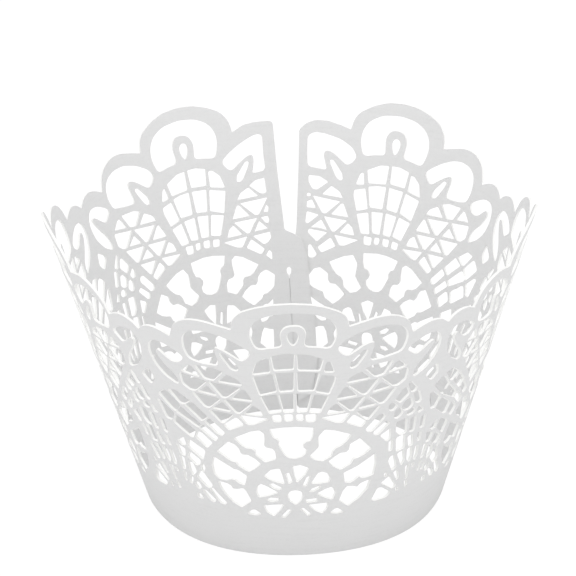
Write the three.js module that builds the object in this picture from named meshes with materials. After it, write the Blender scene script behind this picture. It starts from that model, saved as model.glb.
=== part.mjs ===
import * as THREE from "three";

// Cupcake wrapper: one lace-cut sheet of card, bent into a cone that is open at top and bottom.
// Millimetres, +Z up. The open foot stands on z = 0 and the seam is at the back, at +Y.

// Driving dimensions
const footRadius = 25;
const leanDegrees = 17.1;
const cardThickness = 0.4;
const unitTurnDegrees = 76.29;
const fullTurnDegrees = 360.5;
const seamStep = 0.42;
const seamRamp = 5;
const smallestHoleArea = 1.0;
const smallestKeptShare = 0.45;
const smallestCornerArea = 0.3;
const largestCornerArea = 0.7;
const cornerShare = 0.1;
const shortestSide = 1.05;
const footStepDegrees = 6;

// The ring isn't quite round: it is a little deeper than wide and slightly pointed at the seam.
const ovalTerms = [
  [2, 0.029],
  [3, 0.004],
  [5, -0.008],
];
// The sheet closes a little more at the foot than at the rim, so its ends leave a V at the top.
const closing = 0.000446;
const closingHeight = 40;

// The lace is drawn for a foot radius of 25 and grows with the foot.
const laceScale = footRadius / 25;
const lean = THREE.MathUtils.degToRad(leanDegrees);
const apexReach = footRadius / Math.sin(lean);
const unitPitch = THREE.MathUtils.degToRad(unitTurnDegrees) * Math.sin(lean);

// Lace openings of one repeat, drawn on the flat sheet in mm from the middle of its foot edge.
// The big middle scallop with its drop, then the onion-shaped grid and its row of beads.
const centreHoles = [
  [[-5.5, 43.75], [-6.2, 45.2], [-6.55, 47], [-6.2, 48.7], [-5.1, 50.1], [-3.1, 51.1], [-0.2, 51.5],
   [3, 51.1], [5.2, 49.9], [6.25, 48.3], [6.45, 46.7], [6.2, 45.2], [5.5, 43.65], [3.6, 44.2],
   [1.6, 44.45], [1.75, 45.8], [2, 47.3], [1.3, 48.7], [0, 48.95], [-1.4, 48.6], [-2.1, 47.2],
   [-1.95, 45.8], [-1.75, 44.45], [-3.6, 44.2]],
  [[-0.1, 44.65], [0.4, 45.3], [0.75, 46.5], [0.5, 47.3], [-0.1, 47.65], [-0.8, 47.3],
   [-0.95, 46.4], [-0.6, 45.3]],
  [[-6.25, 38.55], [-3.6, 39.2], [-3.75, 41.95], [-4.5, 41.95], [-5.7, 40.8]],
  [[-3.4, 42.45], [-1.6, 42.95], [0.05, 42.95], [-0.1, 39.85], [-3, 39.6]],
  [[0.5, 42.85], [2.1, 42.7], [4.4, 41.5], [3.85, 39.3], [0.6, 39.65]],
  [[4.5, 38.95], [4.95, 41], [5.5, 40.75], [6.05, 38.7]],
  [[-6.2, 38.05], [-3.3, 38.85], [-2.7, 35.3], [-5.2, 34.35]],
  [[-2.85, 39], [-0.05, 39.25], [-0.15, 35.5], [-2.25, 35.25]],
  [[0.45, 39.25], [2.2, 39.15], [3.75, 38.75], [2.95, 35.3], [0.55, 35.4]],
  [[4.2, 38.4], [6.15, 37.8], [6.1, 36.8], [5.2, 34.3], [3.2, 35]],
  [[-5.1, 34.05], [-2.75, 34.65], [-2, 31.15], [-3.8, 30.7]],
  [[-2.3, 34.65], [-0.15, 34.9], [-0.2, 31.1], [-1.65, 31]],
  [[0.3, 34.85], [2.5, 34.65], [1.8, 31.1], [0.35, 31]],
  [[3, 34.45], [5.1, 33.85], [3.8, 30.65], [2.2, 30.8]],
  [[-3.45, 30.25], [-2.2, 30.45], [-2, 29.1], [-3.25, 29]],
  [[-1.65, 30.55], [-0.35, 30.55], [-0.35, 29.3], [-1.5, 29.15]],
  [[0.15, 30.5], [1.2, 30.5], [1.2, 29.2], [0.3, 29.3]],
  [[1.6, 30.35], [3.2, 30.4], [3, 28.9], [1.7, 28.9]],
];
// Tongue loops and triangle grid, the same on both sides of the middle.
const mirroredHoles = [
  [[8.4, 39.2], [8.7, 40.2], [10.6, 42.25], [11.25, 42.15], [10.9, 41.3], [9.6, 39.3], [8.9, 38.9]],
  [[7.85, 36.05], [8.6, 37.1], [10.2, 37.85], [11.6, 36.1]],
  [[10.85, 38.3], [12.4, 38.7], [15.3, 38.5], [13.8, 36.2], [12.4, 36.1]],
  [[14.5, 36.3], [15.9, 38.1], [16.5, 37.9], [17.6, 36.4]],
  [[6.35, 33], [7.6, 35.2], [8, 35.15], [9.5, 33]],
  [[8.2, 35.45], [13.1, 35.65], [11, 32.95], [10.4, 33]],
  [[11.9, 33.05], [13.3, 34.7], [14.9, 33.1]],
  [[13.4, 35.65], [17.9, 35.9], [17.5, 33.7], [16.3, 32.95], [15.4, 33]],
  [[4.85, 30.1], [5.4, 31.4], [6.3, 32.05], [7.6, 30.15]],
  [[6.5, 32.45], [10.7, 32.5], [8.9, 30.15], [8.4, 30.15]],
  [[9.7, 30.25], [11, 31.9], [12.6, 30.25]],
  [[11.3, 32.5], [15.9, 32.55], [13.9, 30.15], [13.2, 30.1]],
  [[4, 29.5], [8.4, 29.7], [7.2, 28], [6.4, 28.1]],
  [[7.8, 27.8], [8.9, 29.15], [10.9, 27.1], [10.1, 26.25]],
  [[9.4, 29.65], [13.2, 29.65], [11.3, 27.5], [10.9, 27.55]],
];
// Right side scallop, hook and fan cells, up to the border with the next repeat.
const rightHoles = [
  [[6.55, 43.4], [7.6, 44.8], [9.8, 45.9], [12.6, 46.5], [15, 46.15], [16.9, 45.1], [17.7, 43.5],
   [17.65, 41.8], [16.8, 39.95], [13.8, 39.75], [11.55, 39.8], [11.9, 41.2], [12.45, 42.8],
   [12.2, 43.7], [10.8, 43.4], [9.3, 42.4], [8.2, 41.65], [7.3, 42.2]],
  [[17.6, 39.9], [19.3, 40.8], [21.2, 41.3], [23, 41], [23.8, 39.6], [23.8, 38], [22.9, 36],
   [21, 34.2], [18.75, 33.35], [18.9, 34.6], [19.9, 36], [21.4, 37.3], [22.8, 38.9], [22.5, 39.6],
   [21.6, 39.35], [20.2, 38.5], [19.2, 38.1]],
  [[21.2, 32.4], [21.6, 33], [23.5, 33.85], [23.65, 31.7], [22.3, 30.7]],
  [[10.85, 25.5], [13, 27.8], [13.8, 27.7], [13.95, 26.9], [11.9, 24.75], [11.1, 24.85]],
  [[12.1, 24.4], [14.2, 26], [14.8, 25.4], [12.9, 23.6], [12.3, 23.7]],
  [[13.2, 23.2], [14.9, 24], [14.9, 21.8], [14.3, 21.5]],
  [[14.7, 19.1], [14.7, 21.1], [15.25, 21.3], [15.2, 19.1]],
  [[16, 24.9], [17.8, 24.9], [17.7, 21.7], [16.6, 21.8], [15.95, 22.8]],
  [[16, 21.4], [17.5, 21.5], [17.4, 18.4], [16, 18.4]],
  [[18.5, 24.4], [19.6, 24.4], [19.2, 21.3], [18.4, 21.4]],
  [[18.1, 20.5], [18.9, 20.6], [19.1, 18.2], [18.3, 18.2]],
  [[14.6, 28.9], [15.2, 29.6], [16.1, 28.5], [15.5, 27.8], [14.8, 27.9]],
  [[15.55, 27], [16, 27.8], [16.7, 27.7], [17.1, 26.4], [16.3, 25.7], [15.6, 25.9]],
  [[15.7, 30], [17.2, 31.7], [17.8, 31.6], [18.2, 30.1], [16.6, 28.85]],
  [[16.9, 28], [17.7, 29], [18.6, 28.9], [18.9, 27.3], [18.2, 26.7], [17.3, 26.8]],
  [[17.8, 26], [18.3, 26.6], [19.1, 26.5], [19.4, 25.7], [18.9, 25.3], [17.9, 25.4]],
  [[18, 32.4], [18.5, 32.5], [19.6, 30.6], [19.2, 30.1], [18.6, 30.2]],
  [[19, 29.8], [20, 29.9], [20.45, 27.4], [20, 27.1], [19.4, 27.5]],
  [[19.8, 26.2], [20.3, 26.2], [21, 24.9], [20, 24.8]],
  [[20.6, 23.7], [21.5, 23.5], [21.1, 20.9], [20.4, 21.1]],
  [[20.05, 20.3], [20.7, 20.1], [20.5, 18.3], [20.05, 18.4]],
  [[14.65, 17], [15, 17.8], [15.6, 17.7], [16, 14.9], [15.3, 14.5]],
  [[16.2, 17.8], [17.3, 17.9], [17.5, 15.5], [17, 14.7]],
  [[18.1, 17.8], [18.9, 17.7], [18.9, 15.5], [18.4, 14.6], [18, 15.5]],
  [[19.7, 17.4], [20.2, 17.2], [20.1, 15.3], [19.6, 14.3], [19.3, 14.8]],
  [[13.95, 14.4], [14.3, 14.5], [14.4, 13.8], [14.1, 13.7]],
  [[11.8, 9.6], [12.8, 11.7], [13.5, 11.5], [15, 9.7], [14.3, 9], [12.2, 9.2]],
  [[13.4, 12.6], [14.8, 13.4], [16, 10.7], [15.5, 10.3]],
  [[15.6, 13.9], [16.3, 14], [16.5, 12.1], [16.2, 11.9]],
  [[17.8, 13.9], [18.5, 14], [18.1, 11.1], [17.9, 11.1]],
  [[19.1, 13.8], [19.6, 13.5], [19.4, 12.9], [19.1, 13.1]],
  [[16, 10.1], [16.4, 9.9], [16.4, 9.4], [16.1, 9.4]],
  [[17.7, 10.6], [18.2, 10.7], [18.2, 9.4], [17.8, 9.4]],
];
// Left side scallop, hook and fan cells.
const leftHoles = [
  [[-6.4, 42.9], [-7.6, 43.9], [-9.5, 45], [-11.8, 45.9], [-13.9, 46.05], [-15.8, 45.5],
   [-17, 44.3], [-17.2, 42.6], [-16.9, 41], [-16.2, 39.6], [-14, 39.3], [-11.45, 39.5],
   [-11.7, 40.8], [-12.15, 42.4], [-12, 43.3], [-10.8, 42.9], [-9.3, 42], [-8.1, 41.15],
   [-7.4, 41.4]],
  [[-17.1, 39.5], [-18.8, 40.4], [-20.8, 41], [-22.6, 40.7], [-23.4, 39.4], [-23.3, 37.6],
   [-22.3, 35.6], [-20.6, 34.1], [-18.2, 33.1], [-18.3, 34.2], [-19, 35.3], [-20.6, 36.4],
   [-22.1, 38.2], [-21.9, 39.3], [-21, 38.9], [-19.9, 38.1], [-18.9, 37.8], [-17.8, 38.2]],
  [[-20.2, 31.2], [-18.7, 31.65], [-16.4, 30.35], [-17.6, 29.15], [-18.3, 29.25]],
  [[-22.2, 29.2], [-21, 30.6], [-20.3, 30.5], [-18.2, 28.7], [-18.9, 26.9], [-19.6, 27.1]],
  [[-17.4, 29.1], [-15.9, 30.2], [-13.5, 28], [-14.5, 26.8]],
  [[-19, 26.8], [-18.3, 28.3], [-17.7, 28.2], [-14.7, 26], [-15.1, 25.1]],
  [[-14, 26.9], [-13.2, 27.8], [-10.8, 25.4], [-11.3, 24.7], [-12, 24.9]],
  [[-15, 25.1], [-14.3, 26], [-11.9, 24], [-12.4, 23.2]],
  [[-15.7, 22.8], [-15.2, 24.2], [-14.6, 24.1], [-12.9, 22.6], [-13.8, 21.2]],
  [[-19.6, 24.2], [-19.1, 25.9], [-18.4, 25.9], [-15.7, 24.3], [-16.1, 22.5], [-16.6, 22.5]],
  [[-22.5, 27.7], [-21.7, 27.8], [-19.4, 26.3], [-19.9, 24.5], [-20.9, 24.4]],
  [[-17.2, 19.9], [-16.9, 21.7], [-14.2, 20.4], [-14.6, 18.2]],
  [[-19.1, 20.3], [-17.9, 21.6], [-17.5, 20.1], [-18.3, 19.8]],
  [[-19.4, 19.5], [-17.8, 19.1], [-17.8, 17.5], [-18.6, 17.4]],
  [[-17.3, 17.5], [-16.9, 18.9], [-15.1, 17.9], [-15.2, 16.9], [-15.8, 16.4]],
  [[-14.95, 16.6], [-14.6, 17.2], [-14.35, 16.5], [-14.5, 15.6], [-14.9, 15.7]],
  [[-17.3, 16.3], [-16.5, 16.6], [-15.9, 14.9], [-16.6, 13.7], [-17, 14.4]],
  [[-18.95, 17.1], [-18.05, 16.9], [-17.9, 14.5], [-18.4, 14.2]],
  [[-15.8, 13.8], [-15.2, 15.4], [-14.8, 15.4], [-13.2, 13.1], [-13.5, 12.3], [-14.2, 12.3]],
  [[-16.3, 12], [-15.7, 12.7], [-15.1, 11.8], [-15.6, 11]],
  [[-17.25, 11.8], [-17.05, 13.3], [-16.6, 13.2], [-16.8, 11.7]],
  [[-18.35, 13.7], [-17.9, 13.7], [-17.8, 11.8], [-18.1, 11.8]],
  [[-13.7, 12.1], [-13.1, 12.4], [-10.9, 10], [-11.2, 9.5], [-12, 9.7]],
  [[-15, 11.2], [-14.4, 11.4], [-12.7, 9.9], [-13, 9.3], [-13.6, 9.5]],
  [[-15.95, 9.9], [-15.3, 10], [-14.95, 9.2], [-15.8, 9.1]],
];
// The wheel: nine fields between its beaded spokes, then the rosette inside its inner ring.
const wheelHoles = [
  [[-3.95, 27.45], [0, 27.85], [2.7, 27.55], [2.65, 26.2], [1.7, 24.8], [1, 24.2], [1, 23.4],
   [1.55, 22.8], [1.2, 21.8], [0.5, 21.35], [-1, 21.35], [-1.75, 22.3], [-2.55, 24.1],
   [-2.45, 24.9], [-3.2, 25.5]],
  [[-9.4, 24.6], [-7.9, 26.1], [-5.2, 27], [-4.7, 26.5], [-4.8, 23.8], [-3.5, 23.35], [-3, 22.4],
   [-3.1, 21.3], [-4.9, 20.25], [-6, 21.1], [-6.2, 22.7], [-6.7, 23.05], [-8, 23.1]],
  [[-12.15, 21.2], [-10.7, 23.7], [-9.8, 23.5], [-8.8, 22], [-8.5, 21.4], [-7.1, 21.55],
   [-5.3, 19.9], [-7.1, 17.8], [-8.9, 18.9], [-9.3, 19.6], [-10.2, 19.5], [-11.9, 20.5]],
  [[-13.1, 19.6], [-12.3, 19.7], [-7.5, 17.2], [-7.8, 14.95], [-9.2, 14.85], [-10, 15.6],
   [-10.7, 15], [-12.3, 15], [-13.15, 17.5]],
  [[-12.05, 14.35], [-10.4, 14.4], [-9.9, 13.3], [-8.7, 14.1], [-7.8, 13.9], [-6.8, 11.4],
   [-7.9, 9.8], [-9.4, 9.85], [-10.9, 11.6]],
  [[3.55, 25.6], [4.4, 27], [5.3, 26.8], [8.5, 24.9], [7.8, 23.6], [6.7, 22.8], [5.8, 22.4],
   [5.2, 20.8], [4.2, 20.3], [2.6, 20.8], [2.15, 21.7], [3.5, 23.2]],
  [[4.9, 20], [6.8, 21.5], [7.8, 21.3], [8.4, 22.9], [9.8, 23.85], [11.6, 21.3], [10.3, 20.25],
   [9.2, 19.85], [8.6, 19.6], [8.3, 18.6], [6.8, 17.9]],
  [[7.1, 17.1], [9.9, 18.3], [12.25, 19.85], [12.5, 17.6], [11.85, 15], [10.1, 14.95], [9.5, 15.7],
   [8.9, 14.95], [7.6, 14.95]],
  [[6.4, 11.3], [7.5, 13.8], [8.6, 14.1], [9.5, 13.2], [10.2, 14.25], [11.6, 14.25], [10.8, 12.2],
   [9.2, 10.5], [7.6, 9.7]],
  [[-0.4, 14.5], [0.7, 14.1], [0.9, 12.7], [-0.25, 11.1], [-1.35, 12.7], [-1.25, 14.1]],
  [[-0.5, 19.6], [0.6, 19.9], [1.8, 19], [0.9, 17], [0, 16.2], [-0.5, 18.2]],
  [[-1.5, 17.9], [-1.1, 18.3], [-0.65, 16.2], [-1.2, 16.2]],
  [[2.05, 17.4], [2.05, 16.5], [1.5, 15.3], [1.05, 15.3], [1.4, 16.5]],
  [[-4.9, 17.1], [-3.7, 19], [-2.6, 19], [-1.8, 15.8], [-2.4, 15.7]],
  [[2.4, 15.6], [3.3, 17.8], [4.2, 18.1], [5.1, 16.7], [5.1, 15.4]],
  [[-4.1, 15.4], [-3.5, 15.75], [-2.2, 15.2], [-2.4, 14.6], [-3.2, 14.7]],
  [[2.1, 14.1], [3.5, 15.1], [3.75, 14.8], [2.3, 13.8]],
  [[-6.1, 14.8], [-5.4, 15.5], [-4.6, 15.2], [-2.9, 13.8], [-3.2, 13.3], [-5.9, 12.6]],
  [[3.1, 13.3], [5.3, 14.5], [5.95, 13.9], [5.85, 12.5], [5.2, 11.8], [4.4, 12.3]],
  [[-4.4, 12.3], [-2.8, 12.7], [-2.6, 12.2], [-3.5, 11.85], [-4.3, 11.9]],
  [[1.25, 12.1], [1.7, 12.5], [3.05, 12.2], [3, 11.75], [1.6, 11.7]],
  [[-5.05, 10.8], [-4.6, 11.1], [-2.1, 11.3], [-2.6, 9.9], [-3.5, 8.75], [-4.8, 9.6]],
  [[1.9, 11.1], [4.8, 11.2], [4.8, 9.9], [4, 9], [3.2, 9.3]],
  [[-2.3, 8.7], [-1.6, 10.1], [-1.05, 10.2], [-1.8, 8.6]],
  [[0.6, 10.2], [1.2, 10.3], [2.1, 9.1], [1.7, 8.8]],
  [[-7.5, 8.7], [-6.8, 9.7], [-6.2, 9.7], [-5.6, 8.8], [-6.3, 8.5]],
  [[5.2, 8.8], [5.7, 9.6], [6.2, 9.6], [7.2, 8.6], [6.3, 8.5]],
];

// Rim of one repeat, one list per scallop, from its left valley to its right valley.
const rim = [
  [[-24.6, 42.75], [-23.3, 43.45], [-21.8, 43.7], [-20.5, 43.5], [-19.35, 43.15]],
  [[-19.35, 43.15], [-19.1, 44.4], [-18.8, 45.6], [-17.9, 46.9], [-16.5, 47.8], [-15, 48.2],
   [-13.4, 48.25], [-11.5, 47.9], [-9.4, 47.45]],
  [[-9.4, 47.45], [-9.3, 48.9], [-8.95, 50], [-7.9, 51.4], [-5.8, 52.5], [-3.2, 53.35],
   [-0.4, 53.6], [2.6, 53.3], [5, 52.4], [7.2, 51], [8.1, 49.8], [8.45, 47.75]],
  [[8.45, 47.75], [10.2, 48.15], [12.8, 48.6], [15, 48.3], [16.9, 47.2], [18.1, 45.7],
   [18.65, 43.3]],
  [[18.65, 43.3], [20.2, 43.7], [21.9, 43.9], [23.3, 43.3], [24.65, 42.2]],
];
const bigScallop = 2;
// Rim and edge of the right end of the sheet, from the scallop down to the foot. Its lower tab
// lies outside the other end.
const rightEnd = [
  [8.45, 47.75], [10.2, 48.2], [12.6, 48.6], [14.8, 48.35], [16.3, 47.6], [17.3, 46.4],
  [16.3, 40], [15, 30.4], [14.9, 23.6], [15.35, 23.3], [15.35, 22], [14.9, 21.7],
  [14.1, 20.6], [17.2, 20], [17.9, 18.9], [16, 5.2], [15, 4.2], [11.2, 4], [10.5, 0],
];
// Edge and rim of the left end, from the foot up to the scallop. Its upper tab lies inside.
const leftEnd = [
  [-10.4, 0], [-14.3, 21.9], [-14.35, 22.9], [-14.8, 23.4], [-17.2, 23.1], [-17.9, 23.8],
  [-17.9, 28], [-17.2, 28.9], [-14.9, 29.4], [-14.95, 31], [-15.7, 40], [-16.65, 47.9],
  [-16.2, 48.3], [-13.5, 48.5], [-11.5, 48.35], [-9.4, 47.45],
];
// Inner line of the plain strips along the two ends: [height, distance from the middle].
const rightStrip = [
  [0, 7.5], [10, 9.8], [18, 10.7], [22, 11.5], [27, 12.5], [33, 13.8], [40, 14.9], [47, 15.8],
];
const leftStrip = [
  [0, 7.5], [10, 9.8], [18, 10.8], [22, 11.4], [27, 11.8], [33, 12.8], [40, 13.8], [47, 14.6],
];

function mirrored(outline) {
  return outline.map(([x, y]) => [-x, y]).reverse();
}

function area(outline) {
  let sum = 0;
  for (let i = 0; i < outline.length; i += 1) {
    const [ax, ay] = outline[i];
    const [bx, by] = outline[(i + 1) % outline.length];
    sum += ax * by - bx * ay;
  }
  return sum / 2;
}

// Joins corners that lie close together, then leaves out those that hardly change the outline.
function plain(outline) {
  const kept = outline.slice();
  while (kept.length > 3) {
    let nearest = -1;
    let least = shortestSide;
    for (let i = 0; i < kept.length; i += 1) {
      const after = kept[(i + 1) % kept.length];
      const gap = Math.hypot(after[0] - kept[i][0], after[1] - kept[i][1]);
      if (gap < least) {
        least = gap;
        nearest = i;
      }
    }
    if (nearest < 0) {
      break;
    }
    const next = (nearest + 1) % kept.length;
    kept[nearest] = [(kept[nearest][0] + kept[next][0]) / 2, (kept[nearest][1] + kept[next][1]) / 2];
    kept.splice(next, 1);
  }
  const fromSize = cornerShare * Math.abs(area(outline)) + smallestCornerArea;
  const smallest = Math.min(largestCornerArea, fromSize);
  while (kept.length > 3) {
    let flattest = -1;
    let least = smallest;
    for (let i = 0; i < kept.length; i += 1) {
      const before = kept[(i + kept.length - 1) % kept.length];
      const after = kept[(i + 1) % kept.length];
      const corner = Math.abs(area([before, kept[i], after]));
      if (corner < least) {
        least = corner;
        flattest = i;
      }
    }
    if (flattest < 0) {
      break;
    }
    kept.splice(flattest, 1);
  }
  return kept;
}

function stripAt(strip, y) {
  for (let i = 1; i < strip.length; i += 1) {
    const [y0, x0] = strip[i - 1];
    const [y1, x1] = strip[i];
    if (y <= y1 || i === strip.length - 1) {
      return x0 + ((x1 - x0) * (y - y0)) / (y1 - y0);
    }
  }
  return 0;
}

// Pulls the corners that reach into an end strip back to the strip's line.
function trimmed(outline, strip, side) {
  return outline.map(([x, y]) => [side * Math.min(side * x, stripAt(strip, y)), y]);
}

// One flat point of the fan: the apex is the origin, the front repeat points along +Y.
function onFan(repeat, [x, y]) {
  const turn = repeat * unitPitch;
  const across = x * laceScale;
  const up = y * laceScale + apexReach;
  return new THREE.Vector2(
    across * Math.cos(turn) + up * Math.sin(turn),
    up * Math.cos(turn) - across * Math.sin(turn),
  );
}

// Outline of the whole flat sheet: foot, right end, rim from right to left, left end.
const sheet = [];
const footCorner = rightEnd[rightEnd.length - 1][0] * laceScale;
const footEnd = 2 * unitPitch + Math.atan2(footCorner, apexReach);
const footSteps = Math.ceil((2 * footEnd) / Math.sin(lean) / (footStepDegrees * Math.PI / 180));
for (let i = 1; i < footSteps; i += 1) {
  const turn = -footEnd + (2 * footEnd * i) / footSteps;
  sheet.push(new THREE.Vector2(apexReach * Math.sin(turn), apexReach * Math.cos(turn)));
}
for (let i = rightEnd.length - 1; i > 0; i -= 1) {
  sheet.push(onFan(2, rightEnd[i]));
}
for (let repeat = 2; repeat >= -2; repeat -= 1) {
  const last = repeat === 2 ? bigScallop : rim.length - 1;
  const first = repeat === -2 ? bigScallop : 0;
  for (let scallop = last; scallop >= first; scallop -= 1) {
    for (let i = rim[scallop].length - 1; i > 0; i -= 1) {
      sheet.push(onFan(repeat, rim[scallop][i]));
    }
  }
}
sheet.push(onFan(-2, rim[bigScallop][0]));
for (let i = leftEnd.length - 2; i >= 0; i -= 1) {
  sheet.push(onFan(-2, leftEnd[i]));
}

// All openings of the sheet. Slits too fine for this mesh are left closed.
const unitHoles = [
  ...centreHoles,
  ...mirroredHoles,
  ...mirroredHoles.map(mirrored),
  ...rightHoles,
  ...leftHoles,
  ...wheelHoles,
];
const openings = [];
for (let repeat = -2; repeat <= 2; repeat += 1) {
  for (const outline of unitHoles) {
    let shape = outline;
    if (repeat === 2) {
      shape = trimmed(shape, rightStrip, 1);
    }
    if (repeat === -2) {
      shape = trimmed(shape, leftStrip, -1);
    }
    const open = Math.abs(area(shape));
    if (open > smallestHoleArea && open > smallestKeptShare * Math.abs(area(outline))) {
      openings.push(plain(shape).map((point) => onFan(repeat, point)));
    }
  }
}

// Flat triangles, then flips until none is needlessly long.
const flat = sheet.concat(...openings);
const triangles = THREE.ShapeUtils.triangulateShape(sheet, openings);
function cross(a, b, c) {
  return (b.x - a.x) * (c.y - a.y) - (b.y - a.y) * (c.x - a.x);
}
for (const face of triangles) {
  if (cross(flat[face[0]], flat[face[1]], flat[face[2]]) < 0) {
    face.reverse();
  }
}
const sides = new Map();
function key(a, b) {
  return a * flat.length + b;
}
function claim(index) {
  const face = triangles[index];
  for (let i = 0; i < 3; i += 1) {
    sides.set(key(face[i], face[(i + 1) % 3]), index);
  }
}
triangles.forEach((face, index) => claim(index));
function insideCircle(a, b, c, d) {
  const [ax, ay] = [a.x - d.x, a.y - d.y];
  const [bx, by] = [b.x - d.x, b.y - d.y];
  const [cx, cy] = [c.x - d.x, c.y - d.y];
  const [a2, b2, c2] = [ax * ax + ay * ay, bx * bx + by * by, cx * cx + cy * cy];
  return ax * (by * c2 - cy * b2) - ay * (bx * c2 - cx * b2) + a2 * (bx * cy - cx * by) > 1e-9;
}
for (let round = 0; round < 60; round += 1) {
  let flips = 0;
  for (let index = 0; index < triangles.length; index += 1) {
    for (let i = 0; i < 3; i += 1) {
      const [a, b, c] = [0, 1, 2].map((step) => triangles[index][(i + step) % 3]);
      const other = sides.get(key(b, a));
      if (other === undefined) {
        continue;
      }
      const d = triangles[other].find((corner) => corner !== a && corner !== b);
      const convex = cross(flat[c], flat[a], flat[d]) > 1e-7 && cross(flat[d], flat[b], flat[c]) > 1e-7;
      if (convex && insideCircle(flat[a], flat[b], flat[c], flat[d])) {
        sides.delete(key(a, b));
        sides.delete(key(b, a));
        triangles[index] = [c, a, d];
        triangles[other] = [d, b, c];
        claim(index);
        claim(other);
        flips += 1;
        break;
      }
    }
  }
  if (flips === 0) {
    break;
  }
}

// Azimuth for a length along the ring: the ring's own curve summed in small steps.
const ringStep = 0.25 * Math.PI / 180;
const ringLengths = [0];
function ringRadius(azimuth) {
  return 1 + ovalTerms.reduce((sum, [n, part]) => sum + part * Math.cos(n * azimuth), 0);
}
function ringSlope(azimuth) {
  return -ovalTerms.reduce((sum, [n, part]) => sum + n * part * Math.sin(n * azimuth), 0);
}
for (let i = 0; i < 900; i += 1) {
  const middle = (i + 0.5) * ringStep;
  ringLengths.push(ringLengths[i] + Math.hypot(ringRadius(middle), ringSlope(middle)) * ringStep);
}
function azimuthAt(length) {
  const wanted = Math.abs(length);
  let i = Math.min(899, Math.max(0, Math.floor(wanted / ringStep) - 20));
  while (i < 899 && ringLengths[i + 1] < wanted) {
    i += 1;
  }
  const share = (wanted - ringLengths[i]) / (ringLengths[i + 1] - ringLengths[i]);
  return Math.sign(length) * (i + share) * ringStep;
}

// Bends a flat point onto the cone. The ends part by a small step, so that the tabs lie clear.
const halfTurn = THREE.MathUtils.degToRad(fullTurnDegrees) / 2;
function smooth(t) {
  const s = Math.min(1, Math.max(0, t));
  return s * s * (3 - 2 * s);
}
function bent(point, side) {
  const slant = point.length();
  const height = (slant - apexReach) * Math.cos(lean);
  const spread = 1 - closing * (height - closingHeight);
  const length = (Math.atan2(point.x, point.y) / Math.sin(lean)) * spread;
  const azimuth = azimuthAt(length);
  const radius = footRadius + height * Math.tan(lean);
  const fromSeam = (halfTurn - Math.abs(length)) * radius;
  const step = seamStep * Math.sign(length) * smooth(1 - fromSeam / seamRamp);
  const out = step + (side * cardThickness) / 2 / Math.cos(lean);
  const r = radius * ringRadius(azimuth);
  const slope = radius * ringSlope(azimuth);
  const norm = Math.hypot(r, slope);
  const nx = (r * Math.sin(azimuth) - slope * Math.cos(azimuth)) / norm;
  const ny = (-r * Math.cos(azimuth) - slope * Math.sin(azimuth)) / norm;
  return [r * Math.sin(azimuth) + out * nx, -r * Math.cos(azimuth) + out * ny, Math.max(0, height)];
}

// Inner and outer face, joined by walls along every cut edge.
const corners = [];
for (const point of flat) {
  corners.push(bent(point, -1), bent(point, 1));
}
const faces = [];
for (const [a, b, c] of triangles) {
  faces.push(2 * a + 1, 2 * b + 1, 2 * c + 1, 2 * c, 2 * b, 2 * a);
  for (const [from, to] of [[a, b], [b, c], [c, a]]) {
    if (!sides.has(key(to, from))) {
      faces.push(2 * to + 1, 2 * from + 1, 2 * from, 2 * to + 1, 2 * from, 2 * to);
    }
  }
}
const low = [0, 1].map((axis) => Math.min(...corners.map((corner) => corner[axis])));
const high = [0, 1].map((axis) => Math.max(...corners.map((corner) => corner[axis])));
const middle = [0, 1].map((axis) => (low[axis] + high[axis]) / 2);
const positions = corners.flatMap(([x, y, z]) => [x - middle[0], y - middle[1], z]);

const geometry = new THREE.BufferGeometry();
geometry.setAttribute("position", new THREE.Float32BufferAttribute(positions, 3));
geometry.setIndex(faces);
geometry.computeVertexNormals();
const card = new THREE.MeshStandardMaterial({ color: 0xe9e9e6, roughness: 0.45, metalness: 0 });
const wrapper = new THREE.Mesh(geometry, card);
wrapper.name = "wrapper";
const group = new THREE.Group();
group.name = "cupcake_wrapper";
group.add(wrapper);

export default group;
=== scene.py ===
"""A cupcake wrapper: one sheet of white pearl card, cut as lace by a laser and bent into an open
cone that stands on its plain foot band. Metres in the scene, millimetres on the flat sheet."""

import math

import bpy
import numpy as np
from mathutils import Matrix
from mathutils.geometry import delaunay_2d_cdt


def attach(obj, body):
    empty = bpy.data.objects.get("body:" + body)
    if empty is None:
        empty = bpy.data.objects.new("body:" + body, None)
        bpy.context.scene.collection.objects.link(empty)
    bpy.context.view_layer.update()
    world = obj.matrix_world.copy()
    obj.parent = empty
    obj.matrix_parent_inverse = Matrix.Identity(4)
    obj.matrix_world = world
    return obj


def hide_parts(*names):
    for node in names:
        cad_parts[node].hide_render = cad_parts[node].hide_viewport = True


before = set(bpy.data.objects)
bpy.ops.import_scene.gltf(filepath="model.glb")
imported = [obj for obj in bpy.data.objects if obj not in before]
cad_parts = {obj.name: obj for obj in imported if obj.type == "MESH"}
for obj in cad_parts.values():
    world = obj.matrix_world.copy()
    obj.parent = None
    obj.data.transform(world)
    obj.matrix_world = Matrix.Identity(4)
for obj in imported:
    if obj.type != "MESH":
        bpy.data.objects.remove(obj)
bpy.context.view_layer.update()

# CUTTING PATTERN
# The sheet is cut flat, as a fan whose straight lines all run to one apex. Five repeats stand side
# by side along it. A place on a repeat is [across, up] in millimetres from the middle of its foot
# edge, and each opening is (rounding, corners): the laser turns each corner in a short curve.

FOOT_RADIUS = 25.0
LEAN = math.radians(17.099)
APEX_REACH = FOOT_RADIUS / math.sin(LEAN)
REPEAT_TURN = math.radians(76.286) * math.sin(LEAN)

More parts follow.
